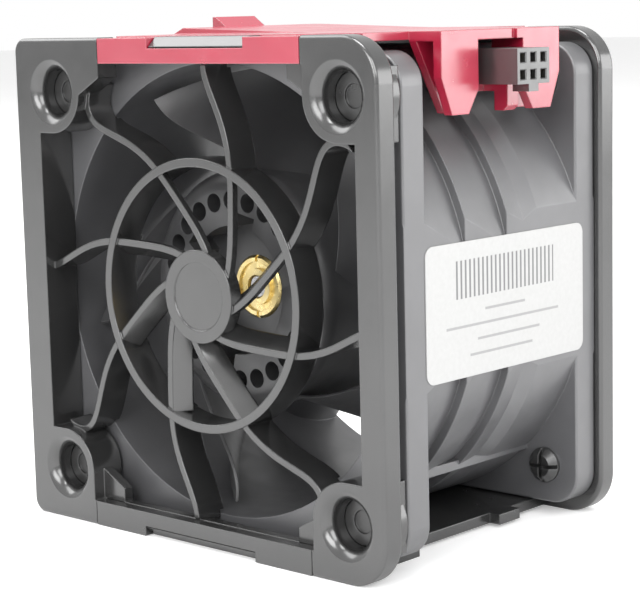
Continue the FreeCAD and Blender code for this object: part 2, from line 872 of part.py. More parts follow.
def impeller_blade():
    """A forward-swept blade between two interpolated surfaces, closed by ruled edges."""
    surfaces = []
    for side in (-1, 1):
        rows = []
        for i in range(blade_radial_stations):
            span = i / (blade_radial_stations - 1)
            rows.append([blade_point(span, j / (blade_chord_stations - 1), side)
                         for j in range(blade_chord_stations)])
        surface = Part.BSplineSurface()
        surface.interpolate(rows)
        surfaces.append(surface)
    near, far = surfaces
    u0, u1, v0, v1 = near.bounds()
    fu0, fu1, fv0, fv1 = far.bounds()
    rims = [(near.uIso(u0), far.uIso(fu0)), (near.uIso(u1), far.uIso(fu1)),
            (near.vIso(v0), far.vIso(fv0)), (near.vIso(v1), far.vIso(fv1))]
    faces = [near.toShape(), far.toShape()]
    for a, b in rims:
        faces.append(Part.makeRuledSurface(a.toShape(), b.toShape()))
    shell = Part.makeShell(faces)
    shell.sewShape()
    solid = Part.Solid(Part.Shell(shell.Faces))
    if solid.Volume < 0:
        solid.reverse()
    return solid


def hub():
    """Plastic hub cup with a recessed nose, a ring of vent holes and pockets round the recess."""
    inner = hub_r - hub_wall
    lag = hub_edge_r * (1 - math.sin(math.pi / 4))
    nose = Vec(hub_r - hub_edge_r, hub_front, 0)
    round_mid = Vec(hub_r - lag, hub_front + lag, 0)
    shoulder = Vec(hub_r, hub_front + hub_edge_r, 0)
    bush_bore = bush_r + fit_gap
    corners = [shoulder, Vec(hub_r, hub_rear, 0), Vec(inner, hub_rear, 0), Vec(inner, hub_floor_rear, 0),
               Vec(bush_bore, hub_floor_rear, 0), Vec(bush_bore, hub_floor_front, 0),
               Vec(recess_r, hub_floor_front, 0), Vec(recess_r, hub_front, 0), nose]
    edges = [Part.Arc(nose, round_mid, shoulder).toShape()]
    for a, b in zip(corners, corners[1:]):
        edges.append(Part.LineSegment(a, b).toShape())
    cup = Part.Face(Part.Wire(edges)).revolve(Vec(0, 0, 0), axis, 360)
    vent = rod(vent_r, hub_front - past, hub_front + vent_depth, vent_circle_r, 0)
    vents = [spun(vent, blade_tip_angle + k * 360 / vent_count) for k in range(vent_count)]
    pocket = box(recess_r - past, pocket_r, hub_front - past, hub_floor_front,
                 -pocket_width / 2, pocket_width / 2)
    pockets = [spun(pocket, pocket_angle + k * 360 / pocket_count) for k in range(pocket_count)]
    return cup.cut(vents + pockets)


def impeller():
    blade = impeller_blade()
    blades = [spun(blade, k * 360 / blade_count) for k in range(blade_count)]
    return hub().fuse(blades)


# Rotor pieces

def rotor_yoke():
    plate_front = hub_floor_rear + fit_gap
    plate_rear = plate_front + yoke_thick
    bore = bush_neck_r + fit_gap
    return turned([(bore, plate_front), (yoke_r, plate_front), (yoke_r, yoke_rear),
                   (yoke_r - yoke_thick, yoke_rear), (yoke_r - yoke_thick, plate_rear), (bore, plate_rear)])


def magnet_ring():
    return sleeve(magnet_r, magnet_r - magnet_thick, magnet_front, magnet_rear)


def shaft():
    groove_front = clip_front - face_gap / 2
    groove_rear = clip_front + clip_thick + face_gap / 2
    neck = shaft_r - clip_groove
    return turned([(0, shaft_front), (shaft_r - shaft_edge, shaft_front), (shaft_r, shaft_front + shaft_edge),
                   (shaft_r, groove_front), (neck, groove_front), (neck, groove_rear),
                   (shaft_r, groove_rear), (shaft_r, shaft_rear - shaft_edge),
                   (shaft_r - shaft_edge, shaft_rear), (0, shaft_rear)])


def hub_bush():
    """Brass bush with a stepped face, moulded into the hub floor and riveted to the yoke."""
    bore = shaft_r + fit_gap
    ring = (bush_r - bore) / 3
    collar = bush_front + bush_collar_set
    groove = bush_front + bush_ring_depth
    bush = turned([(bore, bush_front), (bore + ring, bush_front), (bore + ring, groove),
                   (bore + 2 * ring, groove), (bore + 2 * ring, collar), (bush_r - bush_edge, collar),
                   (bush_r, collar + bush_edge), (bush_r, hub_floor_rear), (bush_neck_r, hub_floor_rear),
                   (bush_neck_r, bush_rear), (bore, bush_rear)])
    slot = box(-bush_slot / 2, bush_slot / 2, bush_front - past, groove, -bush_r - past, bush_r + past)
    return bush.cut(slot.cut(rod(bore + 2 * ring, bush_front - past, groove)))


def preload_spring():
    """Conical disc spring from the hub bush's rim to the inner ring of the front bearing."""
    start = bush_rear
    end = front_bearing_front
    inner = shaft_r + face_gap
    return turned([(spring_r, start), (spring_r, start + spring_thick), (inner + spring_thick, end),
                   (inner, end), (inner, end - spring_thick), (spring_r - spring_thick, start)])


def retaining_clip():
    neck = shaft_r - clip_groove + fit_gap
    rear = clip_front + clip_thick
    ring = sleeve(clip_r, neck, clip_front, rear)
    mouth = box(0, clip_r + past, clip_front - past, rear + past, -clip_mouth / 2, clip_mouth / 2)
    lobe = rod(clip_lobe_r, clip_front - past, rear + past, (neck + clip_r) / 2, 0)
    lobes = [spun(lobe, angle) for angle in (120, 240)]
    return ring.cut([mouth] + lobes)


# Ball bearings

def race_groove(front):
    groove = Part.makeTorus(ball_circle_r, ball_r + ball_gap, Vec(0, front + bearing_width / 2, 0), axis)
    return groove


def bearing_outer(front):
    ring = sleeve(bearing_r, outer_race_r, front, front + bearing_width)
    return ring.cut(race_groove(front))


def bearing_inner(front):
    ring = sleeve(inner_race_r, shaft_r + fit_gap, front, front + bearing_width)
    return ring.cut(race_groove(front))


def bearing_balls(front):
    middle = front + bearing_width / 2
    balls = [Part.makeSphere(ball_r, polar(ball_circle_r, k * 360 / ball_count, middle))
             for k in range(ball_count)]
    return Part.makeCompound(balls)


def bearing_cage(front):
    """Crown cage: a ring beside the balls whose rim is scooped round each of them."""
    middle = front + bearing_width / 2
    start = middle + cage_offset
    ring = sleeve(cage_r_out, cage_r_in, start, start + cage_width)
    scoops = [Part.makeSphere(ball_r + ball_gap, polar(ball_circle_r, k * 360 / ball_count, middle))
              for k in range(ball_count)]
    return ring.cut(scoops)


def bearing_tube():
    """Brass tube with a shoulder for each bearing, pressed into the motor base."""
    seat = bearing_r + fit_gap
    front_shoulder = front_bearing_front + bearing_width
    tube_rear = base_rear - base_floor
    return turned([(tube_bore_r, front_shoulder), (seat, front_shoulder), (seat, tube_front),
                   (tube_r, tube_front), (tube_r, tube_rear), (seat, tube_rear),
                   (seat, rear_bearing_front), (tube_bore_r, rear_bearing_front)])


# Stator

def stator_core():
    """Lamination stack with six poles, each a tooth with a pole shoe."""
    ring = sleeve(core_ring_r, tube_r + fit_gap, core_front, core_rear)
    shoe_ring = sleeve(core_r, core_r - pole_depth, core_front, core_rear)
    half = math.radians(pole_span / 2)
    reach = core_r / math.cos(half) + past
    wedge = prism_y([(0, 0), (reach * math.cos(half), -reach * math.sin(half)),
                     (reach * math.cos(half), reach * math.sin(half))], core_front, core_rear)
    shoe = shoe_ring.common(wedge)
    neck = box(core_ring_r - overlap, core_r - pole_depth / 2, core_front, core_rear,
               -tooth_width / 2, tooth_width / 2)
    tooth = neck.fuse(shoe)
    return join([ring] + [spun(tooth, k * 360 / tooth_count) for k in range(tooth_count)])


def stator_insulators():
    """Moulded end caps on both ends of the lamination stack."""
    half = tooth_width / 2 + insulator_wrap
    foot = core_r - pole_depth
    front = core_front - insulator_thick
    ring = sleeve(core_ring_r + insulator_wrap, tube_r + fit_gap, front, core_front)
    arm = box(core_ring_r, foot + insulator_thick, front, core_front, -half, half)
    lip = box(foot, foot + insulator_thick, front - coil_thick, core_front, -2 * half, 2 * half)
    cap = join([ring] + [spun(arm.fuse(lip), k * 360 / tooth_count) for k in range(tooth_count)])
    middle = (core_front + core_rear) / 2
    return Part.makeCompound([cap, cap.mirror(Vec(0, middle, 0), axis)])


def stator_windings():
    """One copper coil round each tooth, between the core ring and the pole shoe."""
    gap = insulator_thick + face_gap
    half = tooth_width / 2 + insulator_wrap + face_gap
    wide = half + coil_side
    r0 = core_ring_r + insulator_wrap + face_gap
    r1 = math.sqrt((core_r - pole_depth) ** 2 - wide ** 2) - face_gap
    outer = box(r0, r1, core_front - gap - coil_thick, core_rear + gap + coil_thick, -wide, wide)
    along = [edge for edge in outer.Edges if edge.BoundBox.XLength > fit_gap]
    coil = outer.makeFillet(coil_side / 2, along)
    coil = coil.cut(box(r0 - past, r1 + past, core_front - gap, core_rear + gap, -half, half))
    return Part.makeCompound([spun(coil, k * 360 / tooth_count) for k in range(tooth_count)])


def circuit_board():
    return sleeve(board_r, tube_r + fit_gap, board_front, board_rear)


def board_components():
    """Driver chip, rotor sensor and chip capacitors on the front of the board."""
    middle = (tube_r + board_r) / 2

    def on_board(wide, tall, high, angle):
        part = box(middle - wide / 2, middle + wide / 2, board_front - high, board_front,
                   -tall / 2, tall / 2)
        return spun(part, angle)

    parts = [on_board(*chip_size, chip_angle), on_board(*sensor_size, sensor_angle)]
    parts += [on_board(*capacitor_size, chip_angle - (k + 2) * capacitor_step)
              for k in range(capacitor_count)]
    return Part.makeCompound(parts)


# Connector, lead and label

def pin_spots():
    spots = []
    for row in range(pin_rows):
        for column in range(pin_columns):
            y = connector_depth + (column - (pin_columns - 1) / 2) * pin_pitch
            z = connector_height + (row - (pin_rows - 1) / 2) * pin_pitch
            spots.append((y, z, column, row))
    return spots


def square_loop(x, y, z, half):
    """A square outline across the connector's axis."""
    corners = [Vec(x, y + a * half, z + b * half) for a, b in ((-1, -1), (1, -1), (1, 1), (-1, 1), (-1, -1))]
    return Part.makePolygon(corners)


def connector_housing():
    y0 = connector_depth - connector_wide / 2
    y1 = connector_depth + connector_wide / 2
    body = box(connector_back, connector_face, y0, y1, connector_low, connector_low + connector_tall)
    key = box(connector_face - key_length, connector_face, connector_depth - key_width / 2,
              connector_depth + key_width / 2, connector_low - key_drop, connector_low + overlap)
    cuts = []
    hole = contact_square / 2 + contact_wall
    mouth = contact_mouth / 2
    flare = mouth - contact_square / 2
    vent = vent_window / 2
    for y, z, column, row in pin_spots():
        cuts.append(box(connector_back - past, connector_face + past, y - hole, y + hole, z - hole, z + hole))
        near = square_loop(connector_face, y, z, mouth)
        deep = square_loop(connector_face - flare, y, z, mouth - flare)
        cuts.append(Part.makeLoft([near, deep], True, True))
        if row == pin_rows - 1:
            start = connector_back + contact_inset
            cuts.append(box(start, start + vent_window_length, y - vent, y + vent, z, z + connector_tall))
    return body.fuse(key).cut(cuts).removeSplitter()


def lead_rows():
    """Column and row signs of the four wires, which use the connector's outer columns."""
    return [(column, row) for column in (-1, 1) for row in (-1, 1)]


def connector_contacts():
    """Four folded sockets, open to the mating pins, each with a crimp that grips its wire."""
    contacts = []
    outer = contact_square / 2 + contact_wall - fit_gap
    inner = contact_square / 2 - contact_wall
    crimp_rear = connector_back + crimp_length
    front = connector_face - contact_inset
    for column, row in lead_rows():
        y = connector_depth + column * pin_pitch * (pin_columns - 1) / 2
        z = connector_height + row * pin_pitch * (pin_rows - 1) / 2
        socket = box(crimp_rear, front, y - outer, y + outer, z - outer, z + outer)
        pin_way = box(crimp_rear + crimp_length, front + past, y - inner, y + inner, z - inner, z + inner)
        contacts.append(socket.cut(pin_way))
    return Part.makeCompound(contacts)


def routed_tube(points, radii):
    """A round wire along straight runs joined by tangent arcs."""
    edges = []
    start = points[0]
    for before, corner, after, radius in zip(points, points[1:], points[2:], radii):
        incoming = (corner - before).normalize()
        outgoing = (after - corner).normalize()
        turn = incoming.getAngle(outgoing)
        back_off = radius * math.tan(turn / 2)
        arc_start = corner - incoming * back_off
        arc_end = corner + outgoing * back_off
        inward = (outgoing - incoming).normalize()
        apex = corner + inward * (radius / math.cos(turn / 2) - radius)
        edges.append(Part.LineSegment(start, arc_start).toShape())
        edges.append(Part.Arc(arc_start, apex, arc_end).toShape())
        start = arc_end
    edges.append(Part.LineSegment(start, points[-1]).toShape())
    path = Part.Wire(edges)
    heading = (points[1] - points[0]).normalize()
    section = Part.Wire(Part.makeCircle(wire_r, points[0], heading))
    return path.makePipeShell([section], True, True)


def lead_wires():
    """Each wire leaves its contact, turns back in the corner, dives into the strut and ends on the board."""
    a = math.radians(lead_angle)
    radial = Vec(math.cos(a), 0, math.sin(a))
    lateral = Vec(math.sin(a), 0, -math.cos(a))
    middle_depth = fan_rear - channel_clear - wire_pitch
    half = wire_pitch / 2
    wires = []
    for column, row in lead_rows():
        y = connector_depth + column * pin_pitch * (pin_columns - 1) / 2
        z = connector_height + row * pin_pitch * (pin_rows - 1) / 2
        side = lateral * (column * half)
        outer = radial * (lead_radius + row * half) + side
        inner = radial * (lead_end_r - row * half) + side
        depth = middle_depth + row * half
        points = [
            Vec(connector_back + crimp_length, y, z),
            Vec(connector_back - wire_pitch, y, z),
            Vec(outer.x, y, outer.z),
            Vec(outer.x, depth, outer.z),
            Vec(inner.x, depth, inner.z),
            Vec(inner.x, board_rear, inner.z),
        ]
        wires.append(routed_tube(points, [lead_bend, lead_bend, lead_tight_bend, lead_tight_bend]))
    return Part.makeCompound(wires)


def label_plate():
    plate = rounded_plate(label_front, label_rear, label_bottom, label_top, 0, label_thick,
                          label_corner_r, label_corner_r)
    plate.rotate(Vec(0, 0, 0), Vec(0, 0, 1), 90)
    return moved(plate, fan_half + label_thick, 0, 0)


parts = {
    "front_bezel": front_bezel,
    "rear_bezel": rear_bezel,
    "top_carrier": top_carrier,
    "bottom_carrier": bottom_carrier,
    "fan_housing": fan_housing,
    "front_isolators": front_isolators,
    "rear_isolators": rear_isolators,
    "impeller": impeller,
    "rotor_yoke": rotor_yoke,
    "magnet_ring": magnet_ring,
    "shaft": shaft,
    "hub_bush": hub_bush,
    "preload_spring": preload_spring,
    "retaining_clip": retaining_clip,
    "front_bearing_outer": lambda: bearing_outer(front_bearing_front),
    "front_bearing_inner": lambda: bearing_inner(front_bearing_front),
    "front_bearing_balls": lambda: bearing_balls(front_bearing_front),
    "front_bearing_cage": lambda: bearing_cage(front_bearing_front),
    "rear_bearing_outer": lambda: bearing_outer(rear_bearing_front),
    "rear_bearing_inner": lambda: bearing_inner(rear_bearing_front),
    "rear_bearing_balls": lambda: bearing_balls(rear_bearing_front),
    "rear_bearing_cage": lambda: bearing_cage(rear_bearing_front),
    "bearing_tube": bearing_tube,
    "stator_core": stator_core,
    "stator_insulators": stator_insulators,
    "stator_windings": stator_windings,
    "circuit_board": circuit_board,
    "board_components": board_components,
    "connector_housing": connector_housing,
    "connector_contacts": connector_contacts,
    "lead_wires": lead_wires,
    "label_plate": label_plate,
}

os.makedirs("parts", exist_ok=True)
for name, make in parts.items():
    shape = make()
    shape = moved(shape, 0, -module_depth / 2, half_height)
    shape.exportStep("parts/" + name + ".step")
    print(name, "solids", len(shape.Solids), "volume", round(shape.Volume, 2), "valid", shape.isValid())
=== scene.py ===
import math

import bpy
from mathutils import Matrix, Vector


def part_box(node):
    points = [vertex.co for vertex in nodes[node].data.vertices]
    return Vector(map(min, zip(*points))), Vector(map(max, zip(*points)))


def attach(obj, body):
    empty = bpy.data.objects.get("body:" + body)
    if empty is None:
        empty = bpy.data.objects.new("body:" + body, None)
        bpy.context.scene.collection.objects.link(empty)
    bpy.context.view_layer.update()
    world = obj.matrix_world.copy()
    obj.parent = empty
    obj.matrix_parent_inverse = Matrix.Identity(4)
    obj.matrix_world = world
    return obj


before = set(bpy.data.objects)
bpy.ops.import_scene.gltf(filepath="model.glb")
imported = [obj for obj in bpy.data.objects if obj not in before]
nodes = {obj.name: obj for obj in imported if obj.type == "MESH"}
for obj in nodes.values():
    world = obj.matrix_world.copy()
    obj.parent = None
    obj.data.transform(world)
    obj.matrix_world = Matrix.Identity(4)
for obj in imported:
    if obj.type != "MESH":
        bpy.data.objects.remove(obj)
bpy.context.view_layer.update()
scene = bpy.context.scene

MM = 0.001
GLOSS_IOR = 1.8
GLOSS_SHINE = 0.68


# Camera and light

AZIMUTH = math.radians(42.69)
ELEVATION = math.radians(8.53)
ROLL = math.radians(-1.41)
CAMERA_PLACE = Vector((171.92, -186.12, 66.80)) * MM
FOCAL_PIXELS = 1933.93
IMAGE_WIDTH = 640
SENSOR_WIDTH = 36


def add_camera():
    back = Vector((math.sin(AZIMUTH) * math.cos(ELEVATION), -math.cos(AZIMUTH) * math.cos(ELEVATION),
                   math.sin(ELEVATION)))
    right = Vector((0, 0, 1)).cross(back).normalized()
    up = back.cross(right)
    rolled_right = right * math.cos(ROLL) + up * math.sin(ROLL)
    rolled_up = up * math.cos(ROLL) - right * math.sin(ROLL)
    data = bpy.data.cameras.new("camera")
    data.sensor_fit = "HORIZONTAL"
    data.sensor_width = SENSOR_WIDTH
    data.lens = FOCAL_PIXELS / IMAGE_WIDTH * SENSOR_WIDTH
    data.clip_start = 0.01
    data.clip_end = 20
    camera = bpy.data.objects.new("camera", data)
    scene.collection.objects.link(camera)
    turn = Matrix((rolled_right, rolled_up, back)).transposed()
    camera.matrix_world = Matrix.Translation(CAMERA_PLACE) @ turn.to_4x4()
    scene.camera = camera


def add_softbox(name, place, target, wide, tall, power):
    data = bpy.data.lights.new(name, "AREA")
    data.shape = "RECTANGLE"
    data.size = wide
    data.size_y = tall
    data.energy = power
    lamp = bpy.data.objects.new(name, data)
    scene.collection.objects.link(lamp)
    lamp.location = Vector(place)
    lamp.rotation_euler = (Vector(target) - Vector(place)).to_track_quat("-Z", "Y").to_euler()


def add_world(fill):
    """White where it is seen or mirrored, and a plain fill for everything else."""
    world = bpy.data.worlds.new("studio")
    scene.world = world
    world.use_nodes = True
    tree = world.node_tree
    background = tree.nodes["Background"]
    background.inputs["Color"].default_value = (1, 1, 1, 1)
    path = tree.nodes.new("ShaderNodeLightPath")
    shown = tree.nodes.new("ShaderNodeMath")
    shown.operation = "MAXIMUM"
    strength = tree.nodes.new("ShaderNodeMapRange")
    strength.inputs["To Min"].default_value = fill
    strength.inputs["To Max"].default_value = 1.0
    clear = tree.nodes.new("ShaderNodeMath")
    clear.operation = "MAXIMUM"
    tree.links.new(path.outputs["Is Camera Ray"], shown.inputs[0])
    tree.links.new(path.outputs["Is Glossy Ray"], shown.inputs[1])
    tree.links.new(shown.outputs[0], clear.inputs[0])
    tree.links.new(path.outputs["Is Transmission Ray"], clear.inputs[1])
    tree.links.new(clear.outputs[0], strength.inputs["Value"])
    tree.links.new(strength.outputs["Result"], background.inputs["Strength"])


# Materials

class Finish:
    """A procedural material: a principled shader with helpers for its surface detail."""

    def __init__(self, name, metallic=0.0, ior=1.5, shine=0.5):
        self.material = bpy.data.materials.new(name)
        self.material.use_nodes = True
        self.tree = self.material.node_tree
        self.shader = self.tree.nodes["Principled BSDF"]
        self.shader.inputs["Metallic"].default_value = metallic
        self.shader.inputs["IOR"].default_value = ior
        self.shader.inputs["Specular IOR Level"].default_value = shine
        self.place = self.node("ShaderNodeTexCoord").outputs["Object"]

    def node(self, kind):
        return self.tree.nodes.new(kind)

    def link(self, source, target):
        self.tree.links.new(source, target)

    def noise(self, size_mm, detail=3.0, rough=0.5, stretch=(1, 1, 1)):
        mapping = self.node("ShaderNodeMapping")
        mapping.inputs["Scale"].default_value = [s / (size_mm * MM) for s in stretch]
        self.link(self.place, mapping.inputs["Vector"])
        texture = self.node("ShaderNodeTexNoise")
        texture.inputs["Scale"].default_value = 1.0
        texture.inputs["Detail"].default_value = detail
        texture.inputs["Roughness"].default_value = rough
        self.link(mapping.outputs["Vector"], texture.inputs["Vector"])
        return texture.outputs["Fac"]

    def spread(self, source, low, high, start=0.3, end=0.7):
        """Maps a noise value to a range of numbers."""
        node = self.node("ShaderNodeMapRange")
        node.inputs["From Min"].default_value = start
        node.inputs["From Max"].default_value = end
        node.inputs["To Min"].default_value = low
        node.inputs["To Max"].default_value = high
        self.link(source, node.inputs["Value"])
        return node.outputs["Result"]

    def ramp(self, source, stops):
        node = self.node("ShaderNodeValToRGB")
        elements = node.color_ramp.elements
        while len(elements) < len(stops):
            elements.new(0.5)
        for element, (position, color) in zip(elements, stops):
            element.position = position
            element.color = (*color, 1)
        self.link(source, node.inputs["Fac"])
        return node.outputs["Color"]

    def mix(self, factor, first, second):
        node = self.node("ShaderNodeMix")
        node.data_type = "RGBA"
        given = {"Factor": factor, "A": first, "B": second}
        for name, value in given.items():
            socket = node.inputs[name]
            if hasattr(value, "links"):
                self.link(value, socket)
            elif isinstance(value, tuple):
                socket.default_value = (*value, 1)
            else:
                socket.default_value = value
        return next(socket for socket in node.outputs if socket.type == "RGBA")

    def color(self, source):
        self.link(source, self.shader.inputs["Base Color"])

    def rough(self, source):
        self.link(source, self.shader.inputs["Roughness"])

    def bump(self, heights, edge_mm=0.12):
        """Adds bump layers, each (height source, depth in mm), over softly rounded edges."""
        soft = self.node("ShaderNodeBevel")
        soft.samples = 6
        soft.inputs["Radius"].default_value = edge_mm * MM
        normal = soft.outputs["Normal"]
        for source, depth_mm in heights:
            layer = self.node("ShaderNodeBump")
            layer.inputs["Distance"].default_value = depth_mm * MM
            layer.inputs["Strength"].default_value = 1.0
            self.link(source, layer.inputs["Height"])
            self.link(normal, layer.inputs["Normal"])
            normal = layer.outputs["Normal"]
        self.link(normal, self.shader.inputs["Normal"])


def moulded(name, dark, light, gloss, dull, grain_mm, grain_depth_mm, edge_mm=0.12, ior=1.5, shine=0.5):
    """Injection-moulded plastic: cloudy colour, uneven gloss and a fine grain."""
    finish = Finish(name, ior=ior, shine=shine)
    cloud = finish.noise(9.0, 4.0)
    fine = finish.noise(grain_mm, 2.0, 0.6)
    finish.color(finish.ramp(cloud, [(0.3, dark), (0.7, light)]))
    finish.rough(finish.spread(finish.noise(3.0, 5.0), gloss, dull))
    finish.bump([(fine, grain_depth_mm)], edge_mm)
    return finish


def metal(name, dark, light, gloss, dull, stretch=(1, 1, 1)):
    """Bare metal with fine tool marks."""
    finish = Finish(name, metallic=1.0)
    marks = finish.noise(0.5, 3.0, 0.6, stretch)
    finish.color(finish.ramp(finish.noise(2.5, 3.0), [(0.3, dark), (0.7, light)]))
    finish.rough(finish.spread(marks, gloss, dull))
    finish.bump([(marks, 0.0008)], 0.05)
    return finish


# Print on the label, in millimetres: a block of even bars over four ruled lines

BAR_PITCH = 0.42
BAR_WIDTH = 0.17
BLOCK_DEPTHS = (-9.0, 11.0)
BLOCK_HEIGHTS = (32.4, 37.0)
RULE_HALF = 0.16
RULE_INK = 0.55
RULES = (
    (30.7, -3.0, 5.0),
    (29.0, -10.5, 12.0),
    (27.2, -4.5, 8.0),
    (25.4, -6.0, 6.5),
)


def label_finish():
    """Coated paper with a printed block of bars and ruled lines."""
    finish = Finish("label_paper")
    split = finish.node("ShaderNodeSeparateXYZ")
    finish.link(finish.place, split.inputs[0])

    def math_node(operation, a, b):
        node = finish.node("ShaderNodeMath")
        node.operation = operation
        for value, socket in zip((a, b), node.inputs):
            if isinstance(value, (int, float)):
                socket.default_value = value
            else:
                finish.link(value, socket)
        return node.outputs[0]

    def inside(value, low, high):
        above = math_node("GREATER_THAN", value, low)
        below = math_node("LESS_THAN", value, high)
        return math_node("MULTIPLY", above, below)

    depth = math_node("DIVIDE", split.outputs["Y"], MM)
    height = math_node("DIVIDE", split.outputs["Z"], MM)
    bars = math_node("LESS_THAN", math_node("PINGPONG", depth, BAR_PITCH), BAR_WIDTH)
    block = math_node("MULTIPLY", inside(depth, *BLOCK_DEPTHS), inside(height, *BLOCK_HEIGHTS))
    ink = math_node("MULTIPLY", bars, block)
    for middle_height, low, high in RULES:
        line = inside(height, middle_height - RULE_HALF, middle_height + RULE_HALF)
        rule = math_node("MULTIPLY", line, inside(depth, low, high))
        ink = math_node("MAXIMUM", ink, math_node("MULTIPLY", rule, RULE_INK))
    fibre = finish.noise(0.6, 4.0, 0.6)
    paper = finish.ramp(fibre, [(0.3, (0.47, 0.47, 0.465)), (0.7, (0.50, 0.50, 0.495))])
    finish.color(finish.mix(ink, paper, (0.17, 0.17, 0.175)))
    finish.rough(finish.spread(finish.noise(4.0, 3.0), 0.32, 0.45))
    finish.bump([(fibre, 0.004)], 0.05)
    return finish


def laminated(name):
    """Stacked sheet steel, one line for each sheet."""
    finish = Finish(name, metallic=0.8)
    wave = finish.node("ShaderNodeTexWave")
    wave.bands_direction = "Y"
    wave.inputs["Scale"].default_value = 500
    wave.inputs["Distortion"].default_value = 0.3
    finish.link(finish.place, wave.inputs["Vector"])
    stops = [(0.2, (0.10, 0.10, 0.11)), (0.8, (0.38, 0.38, 0.40))]
    finish.color(finish.ramp(wave.outputs["Fac"], stops))
    finish.rough(finish.spread(finish.noise(1.5), 0.35, 0.55))
    finish.bump([(wave.outputs["Fac"], 0.02)], 0.05)
    return finish


def wound(name):
    """Enamelled copper wire in close turns."""
    finish = Finish(name, metallic=1.0)
    wave = finish.node("ShaderNodeTexWave")
    wave.wave_type = "RINGS"
    wave.rings_direction = "Y"
    wave.inputs["Scale"].default_value = 900
    wave.inputs["Distortion"].default_value = 0.6
    finish.link(finish.place, wave.inputs["Vector"])
    stops = [(0.2, (0.30, 0.10, 0.04)), (0.8, (0.80, 0.36, 0.16))]
    finish.color(finish.ramp(wave.outputs["Fac"], stops))
    finish.rough(finish.spread(finish.noise(1.0), 0.22, 0.4))
    finish.bump([(wave.outputs["Fac"], 0.05)], 0.05)
    return finish


finishes = {
    "bezel": moulded("bezel_gloss_black", (0.018, 0.018, 0.018), (0.026, 0.026, 0.026),
                     0.16, 0.24, 0.10, 0.0005, 0.25, GLOSS_IOR, GLOSS_SHINE),
    "red": moulded("carrier_gloss_red", (0.36, 0.010, 0.036), (0.42, 0.014, 0.046),
                   0.18, 0.28, 0.12, 0.0005, 0.2, GLOSS_IOR, 0.9),
    "floor_black": moulded("carrier_gloss_black", (0.018, 0.018, 0.018), (0.026, 0.026, 0.026),
                           0.18, 0.28, 0.12, 0.0005, 0.2, GLOSS_IOR, GLOSS_SHINE),
    "housing": moulded("housing_grained_black", (0.080, 0.080, 0.084), (0.100, 0.100, 0.105),
                       0.34, 0.44, 0.16, 0.003, 0.2, GLOSS_IOR, GLOSS_SHINE),
    "impeller": moulded("impeller_satin_black", (0.050, 0.050, 0.052), (0.070, 0.070, 0.072),
                        0.36, 0.48, 0.22, 0.004, 0.12, 1.6, 0.8),
    "rubber": moulded("isolator_rubber", (0.018, 0.018, 0.018), (0.028, 0.028, 0.028),
                      0.26, 0.38, 0.20, 0.003, 0.2, 1.6, 0.8),
    "connector": moulded("connector_black", (0.018, 0.018, 0.018), (0.026, 0.026, 0.026),
                         0.28, 0.38, 0.10, 0.002, 0.06, GLOSS_IOR, 1.0),
    "chip": moulded("chip_black", (0.02, 0.02, 0.02), (0.04, 0.04, 0.04),
                    0.5, 0.65, 0.15, 0.005, 0.05),
    "cream": moulded("insulator_cream", (0.70, 0.66, 0.54), (0.78, 0.75, 0.64),
                     0.45, 0.6, 0.3, 0.005, 0.08),
    "cage": moulded("cage_cream", (0.66, 0.64, 0.56), (0.76, 0.74, 0.66),
                    0.4, 0.55, 0.2, 0.003, 0.05),
    "board": moulded("board_green", (0.015, 0.12, 0.045), (0.03, 0.20, 0.07),
                     0.3, 0.45, 0.5, 0.006, 0.05),
    "magnet": moulded("magnet_grey", (0.05, 0.05, 0.055), (0.08, 0.08, 0.085),
                      0.5, 0.7, 0.3, 0.01, 0.08),
    "steel": metal("ground_steel", (0.50, 0.50, 0.52), (0.66, 0.66, 0.68), 0.18, 0.34, (1, 6, 1)),
    "spring": metal("spring_steel", (0.55, 0.55, 0.56), (0.72, 0.72, 0.73), 0.2, 0.3),
    "brass": metal("turned_brass", (0.86, 0.66, 0.27), (0.96, 0.80, 0.42), 0.24, 0.36, (1, 4, 1)),
    "gold": metal("plated_contact", (0.70, 0.50, 0.20), (0.90, 0.70, 0.32), 0.2, 0.35),
    "lamination": laminated("lamination_stack"),
    "copper": wound("copper_windings"),
    "wire": moulded("wire_insulation", (0.020, 0.020, 0.020), (0.032, 0.032, 0.032),
                    0.34, 0.48, 0.14, 0.002, 0.05),
    "label": label_finish(),
}

worn_by = {
    "bezel": ["front_bezel", "rear_bezel"],
    "red": ["top_carrier"],
    "floor_black": ["bottom_carrier"],
    "housing": ["fan_housing"],
    "impeller": ["impeller"],
    "rubber": ["front_isolators", "rear_isolators"],
    "connector": ["connector_housing"],
    "chip": ["board_components"],
    "cream": ["stator_insulators"],
    "cage": ["front_bearing_cage", "rear_bearing_cage"],
    "board": ["circuit_board"],
    "magnet": ["magnet_ring"],
    "steel": ["rotor_yoke", "shaft",
              "front_bearing_outer", "front_bearing_inner", "front_bearing_balls",
              "rear_bearing_outer", "rear_bearing_inner", "rear_bearing_balls"],
    "spring": ["preload_spring", "retaining_clip"],
    "brass": ["hub_bush", "bearing_tube"],
    "gold": ["connector_contacts"],
    "lamination": ["stator_core"],
    "copper": ["stator_windings"],
    "wire": ["lead_wires"],
    "label": ["label_plate"],
}


def dress(node, finish):
    mesh = node.data
    mesh.materials.clear()
    mesh.materials.append(finish.material)


for key, names in worn_by.items():
    for name in names:
        dress(nodes[name], finishes[key])


# Slanted vanes behind the inner ribs of the finger guard, in millimetres and degrees.
# A rib's angle is a sum of powers of its radius over that of the bore.

